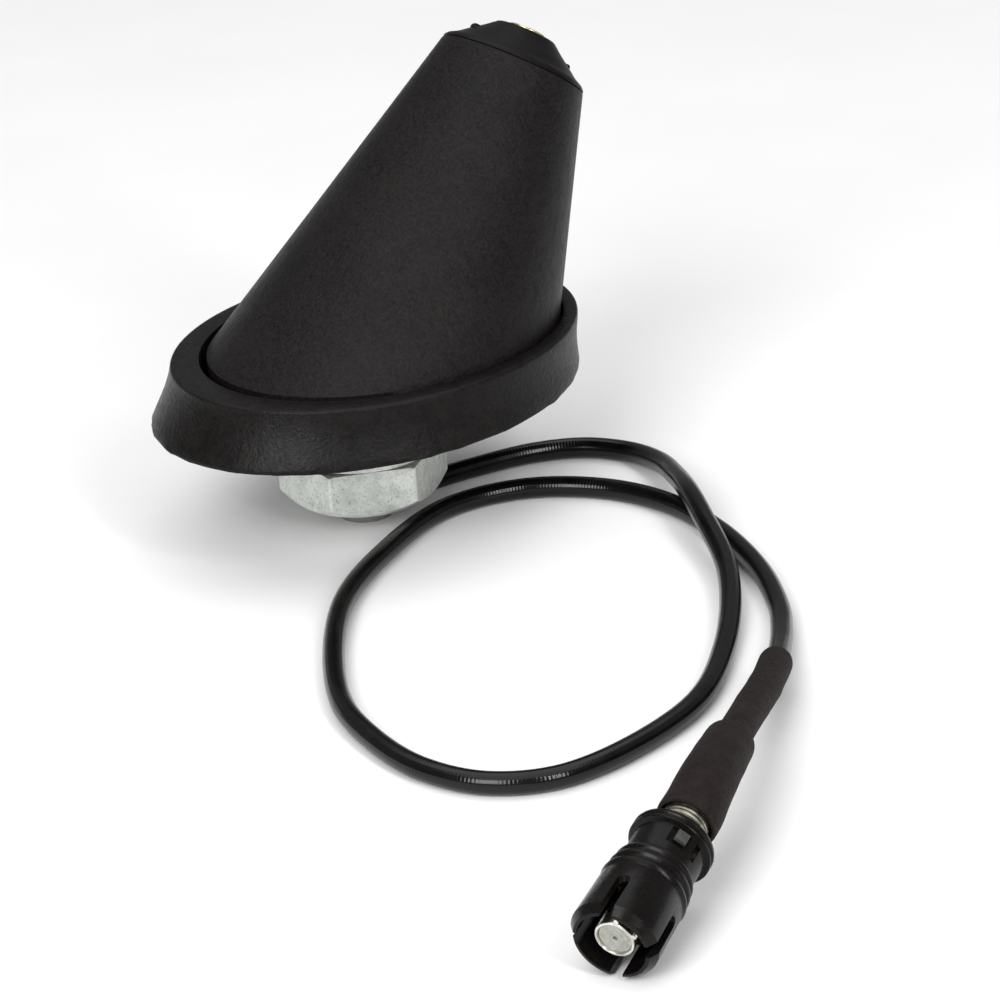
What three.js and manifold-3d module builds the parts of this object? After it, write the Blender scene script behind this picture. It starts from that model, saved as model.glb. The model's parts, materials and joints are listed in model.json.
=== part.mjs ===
// Roof antenna head of a GNSS receiver: a slanted housing with a mast socket on its tip, an oval gasket,
// a hollow threaded stud with its nut, and a coax lead that ends in a round push-on plug.
// Millimetres, +Z up, +X to the rear. The stud's end stands on z = 0.
import * as THREE from "three";
import { mergeVertices } from "three/addons/utils/BufferGeometryUtils.js";
import Module from "manifold-3d";

const wasm = await Module();
wasm.setup();

// Clearance between pieces that touch on the real object
const GAP = 0.3;

// Heights: the roof skin lies against the gasket's underside
const ROOF_Z = 20.6;
const GASKET_TOP_Z = ROOF_Z + 9.2;
const WEB_TOP_Z = ROOF_Z + 1.4;
const BASE_Z = WEB_TOP_Z + GAP;
const BASE_TOP_Z = BASE_Z + 3;
const BOARD_Z = BASE_TOP_Z + 3;
const BOARD_TOP_Z = BOARD_Z + 1.6;

// Ovals in plan: centre on X, half length along X, half width along Y
const GASKET_FOOT = { x: -4, a: 37.2, b: 30.1 };
const GASKET_CROWN = { x: -1.5, a: 35.3, b: 28.8 };
const GASKET_MOUTH = { x: 0, a: 31.5, b: 25.8 };
const SKIRT = { x: 0.5, a: 30.6, b: 25.2 };
const BASE = { x: 0.5, a: 28.2, b: 22.8 };
const BOARD = { x: 0.5, a: 20, b: 19 };

// Housing wall and its slanted upper rim, which carries the mast socket
const WALL = 2;
const MAST_TILT = THREE.MathUtils.degToRad(35.4);
const RIM = { x: 31.1, z: ROOF_Z + 45.6, r: 12.25 };
const TIP_HEIGHT = 5.7;
const LUG_TURN = THREE.MathUtils.degToRad(-32);
const TIP_R = 4.87;

// Stud M16 x 1.5 with a narrower end that stands below the nut
const STUD_X = -6.3;
const STUD_R = 7.9;
const STUD_BORE_R = 4.2;
const STUD_END_R = 4.5;
const STUD_END_BORE_R = 3.4;
const STUD_END_HEIGHT = 4.3;
const EXIT_HEADING = THREE.MathUtils.degToRad(-8);

// Fixing nut, 24 mm across flats, and the toothed washer that rides on it
const NUT_FLATS = 24;
const NUT_Z = 3.9;
const NUT_HEIGHT = 8;
const NUT_TURN = THREE.MathUtils.degToRad(-1.7);
const WASHER_Z = NUT_Z + NUT_HEIGHT + GAP;
const WASHER_THICKNESS = 1.2;
const WASHER_R = 12.6;

// Screws through the base into the housing, and down through the board into the base
const HOUSING_SCREWS = [
  ["front", -23, 0],
  ["left", 19.5, 13],
  ["right", 19.5, -13],
];
const BOARD_SCREWS = [
  ["left", -1, 16.2],
  ["right", -1, -16.2],
];
const SCREW_HOLE_R = 1.65;
const SCREW_SHANK_R = 1.35;
const CLAMP_SCREW_X = STUD_X - 8.2;

// Coax lead: outer radius, and the route of its centre line from the board down the stud and on to the plug
const CABLE_R = 1.7;
const FLOOR_RUN_Z = CABLE_R + 0.1;
const LEAD = [
  [-6.3, 0, 27.2],
  [-6.3, 0, 16],
  [-7.3, 0, 9.8],
  [-6.5, 0, 5.9],
  [-3.53, -0.39, 2.9],
  [0.63, -0.97, 1.95],
  [13, -2.8, FLOOR_RUN_Z],
  [25, -6.3, FLOOR_RUN_Z],
  [32, -11.3, FLOOR_RUN_Z],
  [35.4, -18.5, 1.9],
  [34, -27, 3],
  [29.8, -35.3, 4.3],
  [25, -43.2, 5.5],
  [20.5, -50.8, 5.2],
  [11.5, -65.5, 3.2],
  [-6, -82.2, FLOOR_RUN_Z],
  [-23.5, -92.3, FLOOR_RUN_Z],
  [-47.5, -93.5, FLOOR_RUN_Z],
  [-56.5, -87.2, FLOOR_RUN_Z],
  [-60, -77, FLOOR_RUN_Z],
  [-58.8, -64.5, FLOOR_RUN_Z],
  [-54, -51.5, FLOOR_RUN_Z],
  [-34, -27.6, FLOOR_RUN_Z],
  [-17, -17.5, FLOOR_RUN_Z],
  [1, -12.1, FLOOR_RUN_Z],
  [14, -16, FLOOR_RUN_Z],
  [22.5, -26, FLOOR_RUN_Z],
  [25.3, -38, FLOOR_RUN_Z],
  [23, -52, FLOOR_RUN_Z],
  [17.2, -66.5, FLOOR_RUN_Z],
  [9.4, -78.5, 1.9],
  [3.6, -84.8, 2.3],
  [-3.2, -91, 3.3],
  [-15.6, -100.6, 5.9],
  [-24.8, -106.9, 7.9],
  [-33, -112.5, 9.6],
  [-45.6, -120.8, 11.5],
  [-50.9, -124.1, 11.7],
  [-54.66, -126.31, 11.31],
  [-57.93, -127.63, 10.57],
];

// Plug: the front of its fingers, the heading it points to and how far its nose dips.
// It lies on its finger tips. All other plug measures are counted back from that front.
const PLUG_FRONT = [-79.15, -136.2, 5.7];
const PLUG_HEADING = THREE.MathUtils.degToRad(202);
const PLUG_DIP = THREE.MathUtils.degToRad(12);
const FINGER_SLOTS = { first: 0, count: 4, width: 1.8, length: 6.8 };
const NECK = { front: -13.8, back: -18.4, r: 4.95, bore: 4.25 };
const COLLAR_WINDOWS = [
  { middle: 56, width: 2.8, floor: 4.45 },
  { middle: 22, width: 0.9, floor: 3 },
];
const WINDOW_FRONT = -15.6;
const TUBE_FRONT = -1.1;
const JACKET_END = -25.5;
const FERRULE = { front: -20.9, back: -27, inner: 2.75, outer: 3.3 };
const THICK_SLEEVE = { end: -23.4, length: 24.5, inner: [2.75, 3.75], outer: [3.55, 4.3], shoulder: 0.45 };
const THIN_SLEEVE = { length: 43.4, inner: 1.95, outer: 2.5 };

const MATERIALS = {
  housing: [0x1c1c1d, 0.55, 0],
  nose: [0x161617, 0.4, 0],
  rubber: [0x141414, 0.7, 0],
  zinc: [0xb9bdbc, 0.45, 0.9],
  castZinc: [0x9fa3a4, 0.55, 0.85],
  brass: [0xb99a4f, 0.35, 0.95],
  nickel: [0xc8c9c6, 0.3, 0.95],
  board: [0x1f5a35, 0.6, 0],
  ceramic: [0xb8a58c, 0.8, 0],
  silver: [0xd6d6d2, 0.35, 0.9],
  blackPart: [0x202124, 0.5, 0],
  tan: [0x9a7b4d, 0.6, 0],
  cable: [0x0e0e0f, 0.3, 0],
  sleeve: [0x1a1817, 0.8, 0],
  collar: [0x171718, 0.4, 0],
  dullNickel: [0x9a9684, 0.5, 0.9],
  roughPlastic: [0x4a4a48, 0.8, 0],
  white: [0xd9dad4, 0.5, 0],
};

// ---- Solids -------------------------------------------------------------------------------------

function toSolid(geometry) {
  const flat = geometry.index ? geometry.toNonIndexed() : geometry;
  const bare = new THREE.BufferGeometry().setAttribute("position", flat.getAttribute("position"));
  const merged = mergeVertices(bare, 1e-4);
  return new wasm.Manifold(
    new wasm.Mesh({
      numProp: 3,
      vertProperties: merged.attributes.position.array,
      triVerts: new Uint32Array(merged.index.array),
    }),
  );
}

function toGeometry(solid) {
  const mesh = solid.getMesh();
  const geometry = new THREE.BufferGeometry();
  geometry.setAttribute("position", new THREE.BufferAttribute(new Float32Array(mesh.vertProperties), 3));
  geometry.setIndex(new THREE.BufferAttribute(new Uint32Array(mesh.triVerts), 1));
  return geometry;
}

const join = (geometries) => toGeometry(geometries.map(toSolid).reduce((a, b) => a.add(b)));
const cut = (body, tools) => toGeometry(tools.map(toSolid).reduce((a, b) => a.subtract(b), toSolid(body)));
const common = (a, b) => toGeometry(toSolid(a).intersect(toSolid(b)));

// Closed body through rings of points, capped at both ends, or closed on itself when loop is true
function loft(rings, loop = false) {
  const n = rings[0].length;
  const index = [];
  const bands = loop ? rings.length : rings.length - 1;
  for (let i = 0; i < bands; i++) {
    const low = i * n;
    const high = ((i + 1) % rings.length) * n;
    for (let j = 0; j < n; j++) {
      const k = (j + 1) % n;
      index.push(low + j, low + k, high + k, low + j, high + k, high + j);
    }
  }
  const end = (rings.length - 1) * n;
  for (let j = 1; !loop && j < n - 1; j++) index.push(0, j + 1, j, end, end + j, end + j + 1);
  const geometry = new THREE.BufferGeometry();
  const positions = rings.flat().flatMap((p) => [p.x, p.y, p.z]);
  geometry.setAttribute("position", new THREE.Float32BufferAttribute(positions, 3));
  geometry.setIndex(index);
  return geometry;
}

function oval({ x, a, b }, z, inset = 0, sides = 48) {
  return Array.from({ length: sides }, (_, i) => {
    const t = (2 * Math.PI * i) / sides;
    return new THREE.Vector3(x + (a - inset) * Math.cos(t), (b - inset) * Math.sin(t), z);
  });
}

function lathe(profile, sides = 24) {
  const points = profile.map(([r, z]) => new THREE.Vector2(r, z));
  return new THREE.LatheGeometry(points, sides).rotateX(Math.PI / 2);
}

// A lathe profile that closes on itself, for a piece with an open bore
const ringLathe = (profile, sides) => lathe([...profile, profile[0]], sides);

function rod(r, low, high, x = 0, y = 0, sides = 24) {
  return new THREE.CylinderGeometry(r, r, high - low, sides)
    .rotateX(Math.PI / 2)
    .translate(x, y, (low + high) / 2);
}

function box(low, high) {
  const size = high.map((v, i) => v - low[i]);
  const middle = high.map((v, i) => (v + low[i]) / 2);
  return new THREE.BoxGeometry(...size).translate(...middle);
}

// ---- Housing and mast socket --------------------------------------------------------------------

// The housing's outer form: an upright skirt, then straight lines from its oval to the slanted rim
function coneForm(inset, lowZ, rise) {
  const skirtTop = oval(SKIRT, GASKET_TOP_Z, inset);
  const axis = new THREE.Vector3(Math.sin(MAST_TILT), 0, Math.cos(MAST_TILT));
  const across = new THREE.Vector3(Math.cos(MAST_TILT), 0, -Math.sin(MAST_TILT));
  const rim = skirtTop.map((_, i) => {
    const t = (2 * Math.PI * i) / skirtTop.length;
    return new THREE.Vector3(RIM.x, 0, RIM.z)
      .addScaledVector(across, (RIM.r - inset) * Math.cos(t))
      .addScaledVector(new THREE.Vector3(0, 1, 0), (RIM.r - inset) * Math.sin(t));
  });
  const middle = skirtTop.map((p, i) => p.clone().lerp(rim[i], 0.5));
  const above = rim.map((p) => p.clone().addScaledVector(axis, rise));
  const rings = [oval(SKIRT, lowZ, inset), skirtTop, middle, rim];
  return loft(rise > 0 ? [...rings, above] : rings);
}

function coneHousing() {
  const outer = coneForm(0, BASE_Z, 0);
  const shell = cut(outer, [coneForm(WALL, BASE_Z - 1, 1)]);
  const bosses = HOUSING_SCREWS.flatMap(([side, x, y]) => {
    const boss = rod(2.8, BASE_TOP_Z + GAP, 38, x, y, 16);
    if (side === "front") return [boss];
    const rib = box([x - 0.8, Math.min(y, 2 * y), 26], [x + 0.8, Math.max(y, 2 * y), 36]);
    return [boss, rib];
  });
  const whole = join([shell, common(join(bosses), outer)]);
  return cut(
    whole,
    HOUSING_SCREWS.map(([, x, y]) => rod(SCREW_HOLE_R, BASE_Z, 34.5, x, y, 12)),
  );
}

// Nose and insert stand on the rim, in the mast's own frame: z = 0 is the rim's plane
function mastNose() {
  const body = ringLathe(
    [
      [4.5, -5],
      [9.9, -5],
      [9.9, GAP],
      [12.1, GAP],
      [11.7, 0.8],
      [9.3, 2.4],
      [6.7, 4.3],
      [TIP_R + 0.3, TIP_HEIGHT - 0.2],
      [TIP_R, TIP_HEIGHT],
      [3.4, TIP_HEIGHT],
      [3.4, 3.8],
      [4.5, 3.8],
    ],
    32,
  );
  const lugs = [0, Math.PI].map((side) =>
    box([6.5, -1.2, 1.6], [8.7, 1.2, 3.65]).rotateZ(LUG_TURN + side),
  );
  return cut(join([body, ...lugs]), [rod(3.9, -6, 3, 0, 0, 24)]);
}

function mastInsert() {
  return lathe([
    [0, -6],
    [4.2, -6],
    [4.2, 3.5],
    [3.1, 3.5],
    [3.1, TIP_HEIGHT + 0.5],
    [2.1, TIP_HEIGHT + 0.5],
    [2.1, -4],
    [0, -4],
  ]);
}

// ---- Base, gasket and fixings -------------------------------------------------------------------

function basePlate() {
  const plate = loft([oval(BASE, BASE_Z), oval(BASE, BASE_TOP_Z)]);
  const solid = join([
    plate,
    rod(10, ROOF_Z + 0.2, BASE_Z + 1, STUD_X, 0, 32),
    rod(STUD_R, STUD_END_HEIGHT, BASE_Z + 1, STUD_X, 0, 32),
    rod(STUD_END_R, 0, STUD_END_HEIGHT + 1, STUD_X, 0, 24),
    ...BOARD_SCREWS.map(([, x, y]) => rod(2.8, BASE_Z + 1, BOARD_Z - GAP, x, y, 16)),
  ]);
  const notch = box([0, -2.1, -1], [9, 2.1, 5]).rotateZ(EXIT_HEADING).translate(STUD_X, 0, 0);
  return cut(solid, [
    notch,
    rod(STUD_BORE_R, STUD_END_HEIGHT + 0.7, 30, STUD_X, 0, 24),
    rod(STUD_END_BORE_R, -1, STUD_END_HEIGHT + 1, STUD_X, 0, 24),
    rod(1.3, BASE_Z + 1, 30, CLAMP_SCREW_X, 0, 12),
    ...BOARD_SCREWS.map(([, x, y]) => rod(1.3, BASE_Z + 1, 30, x, y, 12)),
    ...HOUSING_SCREWS.map(([, x, y]) => rod(SCREW_HOLE_R, BASE_Z - 1, 30, x, y, 12)),
    ...HOUSING_SCREWS.map(([, x, y]) => rod(2.7, BASE_Z - 1, BASE_Z + 2, x, y, 16)),
  ]);
}

function gasket() {
  const at = (share, z, inset) => {
    const mix = (key) => THREE.MathUtils.lerp(GASKET_FOOT[key], GASKET_CROWN[key], share);
    return oval({ x: mix("x"), a: mix("a"), b: mix("b") }, z, inset);
  };
  const hole = { x: STUD_X, a: 10.6, b: 10.6 };
  return loft(
    [
      at(0, ROOF_Z, 0.5),
      at(0.03, ROOF_Z + 0.5, 0),
      at(0.5, ROOF_Z + 4.2, 0.25),
      at(1, GASKET_TOP_Z - 0.7, 0),
      at(1, GASKET_TOP_Z, 0.7),
      oval(GASKET_MOUTH, GASKET_TOP_Z),
      oval(GASKET_MOUTH, WEB_TOP_Z, 0.1),
      oval(hole, WEB_TOP_Z),
      oval(hole, ROOF_Z),
    ],
    true,
  );
}

function fixingNut() {
  const corner = NUT_FLATS / Math.sqrt(3);
  const hexagon = rod(corner, NUT_Z, NUT_Z + NUT_HEIGHT, 0, 0, 6).rotateZ(NUT_TURN);
  const chamfers = lathe(
    [
      [0, NUT_Z],
      [11.15, NUT_Z],
      [14, NUT_Z + 2.15],
      [14, NUT_Z + NUT_HEIGHT - 0.4],
      [13.4, NUT_Z + NUT_HEIGHT],
      [0, NUT_Z + NUT_HEIGHT],
    ],
    48,
  );
  return cut(common(hexagon, chamfers), [rod(STUD_R + 0.25, 0, 20, 0, 0, 32)]);
}

function groundingWasher() {
  const top = WASHER_Z + WASHER_THICKNESS;
  const disc = rod(WASHER_R, WASHER_Z, top, 0, 0, 36);
  const teeth = Array.from({ length: 12 }, (_, i) =>
    new THREE.ConeGeometry(0.9, 1.2, 4)
      .rotateX(Math.PI / 2)
      .translate(11.3, 0, top + 0.3)
      .rotateZ((Math.PI * i) / 6),
  );
  return cut(join([disc, ...teeth]), [rod(STUD_R + 0.4, 0, 20, 0, 0, 32)]);
}

function screw(headR, headHeight, shankR, length) {
  const body = join([rod(headR, -headHeight, 0, 0, 0, 20), rod(shankR, -0.2, length, 0, 0, 12)]);
  const slots = [0, Math.PI / 2].map((turn) =>
    box([-0.35, -headR * 0.6, -headHeight - 1], [0.35, headR * 0.6, -headHeight * 0.4]).rotateZ(turn),
  );
  return cut(body, slots);
}

function cableClamp() {
  const low = BASE_TOP_Z + GAP;
  const plate = box([CLAMP_SCREW_X - 3, -3.5, low], [STUD_X + 4.5, 3.5, low + 1]);
  return cut(plate, [rod(CABLE_R + 0.3, 0, 40, STUD_X, 0, 16), rod(1.6, 0, 40, CLAMP_SCREW_X, 0, 12)]);
}

function cableGrommet() {
  return ringLathe([
    [CABLE_R + 0.25, 16.5],
    [STUD_BORE_R - 0.25, 16.5],
    [STUD_BORE_R - 0.25, BASE_TOP_Z - 0.1],
    [CABLE_R + 0.25, BASE_TOP_Z - 0.1],
  ]);
}

// ---- Electronics --------------------------------------------------------------------------------

const PATCH = { x: -1.5, half: 12.5, electrode: 10.5 };
const PATCH_Z = BOARD_TOP_Z + GAP;
const PATCH_HEIGHT = 4;
const FEED_X = PATCH.x + 2;

function circuitBoard() {
  return cut(loft([oval(BOARD, BOARD_Z), oval(BOARD, BOARD_TOP_Z)]), [
    rod(1.2, 0, 40, STUD_X, 0, 12),
    rod(0.9, 0, 40, FEED_X, 0, 12),
    ...BOARD_SCREWS.map(([, x, y]) => rod(1.5, 0, 40, x, y, 12)),
  ]);
}

function squarePlate(half, low, high) {
  const plate = box([PATCH.x - half, -half, low], [PATCH.x + half, half, high]);
  return cut(plate, [rod(0.9, 0, 60, FEED_X, 0, 12)]);
}

function shieldCan() {
  const top = BOARD_Z - GAP;
  const outer = box([2, -9, top - 2.1], [18, 9, top]);
  return cut(outer, [box([2.4, -8.6, top - 1.7], [17.6, 8.6, top + 1])]);
}

// Wire from the mast insert's tail to the board's rear edge
function mastLead() {
  const tail = 6.3;
  const start = [RIM.x - tail * Math.sin(MAST_TILT), 0, RIM.z - tail * Math.cos(MAST_TILT)];
  const points = [start, [24, 0, 54], [19.5, 0, 43], [17, 0, 34], [16.6, 0, BOARD_TOP_Z + GAP]];
  return tube(curveThrough(points), 0.6, 14, 8);
}

// ---- Lead and plug ------------------------------------------------------------------------------

const curveThrough = (points) => new THREE.CatmullRomCurve3(points.map((p) => new THREE.Vector3(...p)));

// The stretch of a curve between two lengths along it
class Stretch extends THREE.Curve {
  constructor(curve, from, to) {
    super();
    const whole = curve.getLength();
    this.curve = curve;
    this.from = from / whole;
    this.to = to / whole;
  }
  getPoint(t, target = new THREE.Vector3()) {
    return this.curve.getPointAt(THREE.MathUtils.lerp(this.from, this.to, t), target);
  }
}

function tube(curve, r, steps, sides) {
  const section = new THREE.Shape(
    Array.from({ length: sides }, (_, i) => {
      const t = (2 * Math.PI * i) / sides;
      return new THREE.Vector2(r * Math.cos(t), r * Math.sin(t));
    }),
  );
  return new THREE.ExtrudeGeometry(section, { steps, extrudePath: curve, bevelEnabled: false });
}

// A hollow sleeve along a curve; the radii are functions of the share of the length
function sleeve(curve, inner, outer, steps, sides = 16) {
  const up = new THREE.Vector3(0, 0, 1);
  const ring = (share, r) => {
    const centre = curve.getPointAt(share);
    const tangent = curve.getTangentAt(share);
    const side = new THREE.Vector3().crossVectors(up, tangent).normalize();
    const top = new THREE.Vector3().crossVectors(tangent, side);
    return Array.from({ length: sides }, (_, i) => {
      const t = (2 * Math.PI * i) / sides;
      return centre
        .clone()
        .addScaledVector(side, r * Math.cos(t))
        .addScaledVector(top, r * Math.sin(t));
    });
  };
  const shares = Array.from({ length: steps + 1 }, (_, i) => i / steps);
  const outside = shares.map((share) => ring(share, outer(share)));
  const inside = shares.map((share) => ring(share, inner(share))).reverse();
  return loft([...outside, ...inside], true);
}

// The lead's curve ends on the plug's axis, where the thick sleeve ends
const lead = curveThrough(LEAD);
const leadLength = lead.getLength();
const jacketLength = leadLength - (THICK_SLEEVE.end - JACKET_END);
const thickStart = leadLength - THICK_SLEEVE.length;
const thinStart = thickStart + 6 - THIN_SLEEVE.length;

function thickSleeve() {
  const { length, inner, outer, shoulder } = THICK_SLEEVE;
  return sleeve(
    new Stretch(lead, thickStart, thickStart + length),
    (share) => THREE.MathUtils.lerp(...inner, share),
    (share) => THREE.MathUtils.lerp(...outer, share) - (share === 0 ? shoulder : 0),
    12,
  );
}

function thinSleeve() {
  const { length, inner, outer } = THIN_SLEEVE;
  return sleeve(
    new Stretch(lead, thinStart, thinStart + length),
    () => inner,
    () => outer,
    10,
  );
}

function crimpFerrule() {
  const { front, back, inner, outer } = FERRULE;
  return ringLathe([
    [inner, back],
    [outer, back],
    [outer, front],
    [inner, front],
  ]);
}

function plugShell() {
  const body = ringLathe([
    [1.2, JACKET_END + 0.5],
    [2.45, JACKET_END + 0.5],
    [2.45, -17.6],
    [4, -17.6],
    [4, -10.4],
    [2.75, -9.6],
    [2.75, TUBE_FRONT],
    [2.35, TUBE_FRONT],
    [2.35, -10.4],
    [1.2, -10.4],
  ]);
  const tabs = [20, 78].map((turn) =>
    box([2.5, -0.35, TUBE_FRONT - 1], [3.2, 0.35, TUBE_FRONT]).rotateZ(THREE.MathUtils.degToRad(turn)),
  );
  return join([body, ...tabs]);
}

function plugInsulator() {
  return ringLathe([
    [0.35, TUBE_FRONT - 1.4],
    [0.8, TUBE_FRONT - 1.7],
    [0.8, -10.1],
    [2.15, -10.1],
    [2.15, TUBE_FRONT - 0.4],
    [1.1, TUBE_FRONT - 0.2],
    [0.35, TUBE_FRONT - 0.2],
  ]);
}

function plugContact() {
  return lathe(
    [
      [0, -9.8],
      [0.55, -9.8],
      [0.55, TUBE_FRONT - 2],
      [0.3, TUBE_FRONT - 2],
      [0.3, TUBE_FRONT - 5.4],
      [0, TUBE_FRONT - 5.4],
    ],
    12,
  );
}

function plugCollar() {
  const body = ringLathe(
    [
      [4.75, 0],
      [4.75, -10],
      [NECK.bore, -11],
      [NECK.bore, -20.3],
      [5.5, -20.3],
      [5.75, -20],
      [5.75, -19.7],
      [5.45, -19.5],
      [5.45, -19.2],
      [5.75, -19],
      [5.75, -18.7],
      [NECK.r, NECK.back],
      [NECK.r, NECK.front],
      [5.45, -13.5],
      [5.4, -12.4],
      [5.72, -12.1],
      [5.65, -10.4],
      [5.93, -10],
      [6.05, -1.6],
      [5.65, -0.5],
      [5.1, 0],
    ],
    36,
  );
  const slots = Array.from({ length: FINGER_SLOTS.count }, (_, i) => {
    const { first, width, length, count } = FINGER_SLOTS;
    const half = width / 2;
    const round = rod(half, 2, 8, 0, 0, 12).rotateY(Math.PI / 2).translate(0, 0, half - length);
    const straight = box([2, -half, half - length], [8, half, 1]);
    return join([round, straight]).rotateZ(THREE.MathUtils.degToRad(first + (360 / count) * i));
  });
  const windows = COLLAR_WINDOWS.map(({ middle, width, floor }) =>
    box([floor, -width / 2, NECK.back], [7, width / 2, WINDOW_FRONT]).rotateZ(
      THREE.MathUtils.degToRad(middle),
    ),
  );
  return cut(body, [...slots, ...windows]);
}

// Lock block that stands on the floor of the wide window
function collarLock() {
  const { middle, width, floor } = COLLAR_WINDOWS[0];
  const low = GAP - width / 2;
  return box([floor + GAP, low, NECK.back + GAP], [5.25, low + 1.7, WINDOW_FRONT - 0.8]).rotateZ(
    THREE.MathUtils.degToRad(middle),
  );
}

// ---- Assembly -----------------------------------------------------------------------------------

function add(group, name, geometry, material) {
  const [color, roughness, metalness] = MATERIALS[material];
  const mesh = new THREE.Mesh(geometry, new THREE.MeshStandardMaterial({ color, roughness, metalness }));
  mesh.name = name;
  group.add(mesh);
  return mesh;
}

const antenna = new THREE.Group();

add(antenna, "cone_housing", coneHousing(), "housing");
add(antenna, "gasket", gasket(), "rubber");
add(antenna, "base_plate", basePlate(), "castZinc");

const mast = new THREE.Group();
mast.position.set(RIM.x, 0, RIM.z);
mast.rotation.y = MAST_TILT;
add(mast, "mast_nose", mastNose(), "nose");
add(mast, "mast_insert", mastInsert(), "brass");
antenna.add(mast);
add(antenna, "mast_lead_wire", mastLead(), "nickel");

const stud = new THREE.Group();
stud.position.x = STUD_X;
add(stud, "fixing_nut", fixingNut(), "zinc");
add(stud, "grounding_washer", groundingWasher(), "zinc");
add(stud, "cable_grommet", cableGrommet(), "rubber");
antenna.add(stud);

for (const [side, x, y] of HOUSING_SCREWS) {
  const mesh = add(antenna, `housing_screw_${side}`, screw(2.3, 1.5, SCREW_SHANK_R, 9.2), "zinc");
  mesh.position.set(x, y, BASE_Z + 2 - GAP);
}
for (const [side, x, y] of BOARD_SCREWS) {
  const mesh = add(antenna, `board_screw_${side}`, screw(2.3, 1.4, 1, 4.2), "zinc");
  mesh.position.set(x, y, BOARD_TOP_Z + GAP);
  mesh.rotation.x = Math.PI;
}
add(antenna, "cable_clamp", cableClamp(), "zinc");
const clampScrew = add(antenna, "clamp_screw", screw(2, 1, 1, 3), "zinc");
clampScrew.position.set(CLAMP_SCREW_X, 0, BASE_TOP_Z + 1.6);
clampScrew.rotation.x = Math.PI;

add(antenna, "circuit_board", circuitBoard(), "board");
add(antenna, "patch_ceramic", squarePlate(PATCH.half, PATCH_Z, PATCH_Z + PATCH_HEIGHT), "ceramic");
const electrodeZ = PATCH_Z + PATCH_HEIGHT + 0.1;
add(antenna, "patch_electrode", squarePlate(PATCH.electrode, electrodeZ, electrodeZ + 0.2), "silver");
add(antenna, "patch_feed_pin", rod(0.5, BOARD_Z + 0.2, electrodeZ + 0.8, FEED_X, 0, 12), "silver");
add(antenna, "shield_can", shieldCan(), "nickel");
add(antenna, "filter_block", box([13.6, -9, BOARD_TOP_Z + 0.1], [17.4, -5.2, BOARD_TOP_Z + 1.4]), "nickel");
add(antenna, "inductor", rod(1.7, BOARD_TOP_Z + 0.1, BOARD_TOP_Z + 2.4, 15.4, 6.8, 16), "blackPart");
for (const [name, x] of [
  ["capacitor_front", -7],
  ["capacitor_rear", 6],
]) {
  add(antenna, name, box([x, 13.4, BOARD_TOP_Z + 0.1], [x + 2, 14.6, BOARD_TOP_Z + 1.1]), "tan");
}
add(antenna, "cable_inner_core", rod(0.85, 27.5, BOARD_TOP_Z - 0.2, STUD_X, 0, 12), "white");

add(antenna, "coax_cable", tube(new Stretch(lead, 0, jacketLength), CABLE_R, 90, 8), "cable");
add(antenna, "heat_shrink_thin", thinSleeve(), "sleeve");
add(antenna, "heat_shrink_thick", thickSleeve(), "sleeve");

const plug = new THREE.Group();
plug.position.set(...PLUG_FRONT);
plug.rotation.set(Math.PI / 2 + PLUG_DIP, 0, PLUG_HEADING + Math.PI / 2, "ZYX");
add(plug, "crimp_ferrule", crimpFerrule(), "dullNickel");
add(plug, "plug_shell", plugShell(), "nickel");
add(plug, "plug_insulator", plugInsulator(), "white");
add(plug, "plug_center_contact", plugContact(), "brass");
add(plug, "cable_core_at_plug", rod(0.9, JACKET_END + GAP, -10.7, 0, 0, 12), "white");
add(plug, "plug_collar", plugCollar(), "collar");
add(plug, "collar_lock_block", collarLock(), "roughPlastic");
antenna.add(plug);

export default antenna;
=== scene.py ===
import json
from math import cos, pi, radians, sin

import bmesh
import bpy
from mathutils import Matrix, Vector, noise


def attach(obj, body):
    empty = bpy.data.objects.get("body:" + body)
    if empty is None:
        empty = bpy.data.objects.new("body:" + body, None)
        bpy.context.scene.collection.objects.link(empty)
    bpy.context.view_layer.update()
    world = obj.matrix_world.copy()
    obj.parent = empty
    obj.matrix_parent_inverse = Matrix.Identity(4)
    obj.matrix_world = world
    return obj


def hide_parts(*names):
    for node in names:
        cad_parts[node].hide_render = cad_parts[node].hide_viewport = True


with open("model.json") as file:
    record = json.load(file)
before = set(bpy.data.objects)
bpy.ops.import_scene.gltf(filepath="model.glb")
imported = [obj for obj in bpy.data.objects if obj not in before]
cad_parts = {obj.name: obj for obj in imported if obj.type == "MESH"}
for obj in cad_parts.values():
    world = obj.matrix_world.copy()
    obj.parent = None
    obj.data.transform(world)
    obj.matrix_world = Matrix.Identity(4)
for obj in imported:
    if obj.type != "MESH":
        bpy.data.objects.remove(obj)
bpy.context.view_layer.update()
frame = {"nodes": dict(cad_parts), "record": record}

MM = 0.001

# ---- Camera -----------------------------------------------------------------------------------------

CAMERA_PLACE = (-0.3445, -0.4369, 0.2456)
CAMERA_ROLL = radians(3.94)
CAMERA_ELEVATION = radians(23.95)
CAMERA_AZIMUTH = radians(40)
CAMERA_LENS = 133.6

turn = (
    Matrix.Rotation(CAMERA_ROLL, 3, "Z")
    @ Matrix.Rotation(CAMERA_ELEVATION - pi / 2, 3, "X")
    @ Matrix.Rotation(CAMERA_AZIMUTH, 3, "Z")
)
camera = bpy.data.objects.new("camera", bpy.data.cameras.new("camera"))
bpy.context.scene.collection.objects.link(camera)
camera.matrix_world = Matrix.Translation(CAMERA_PLACE) @ turn.transposed().to_4x4()
camera.data.lens = CAMERA_LENS
camera.data.sensor_width = 36
camera.data.clip_start = 0.01
bpy.context.scene.camera = camera

# ---- Measures in millimetres ------------------------------------------------------------------------

ROOF_Z = 20.6
GASKET_TOP_Z = 29.8
WEB_TOP_Z = 22
BASE_Z = 22.3
STUD_X = -6.3

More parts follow.
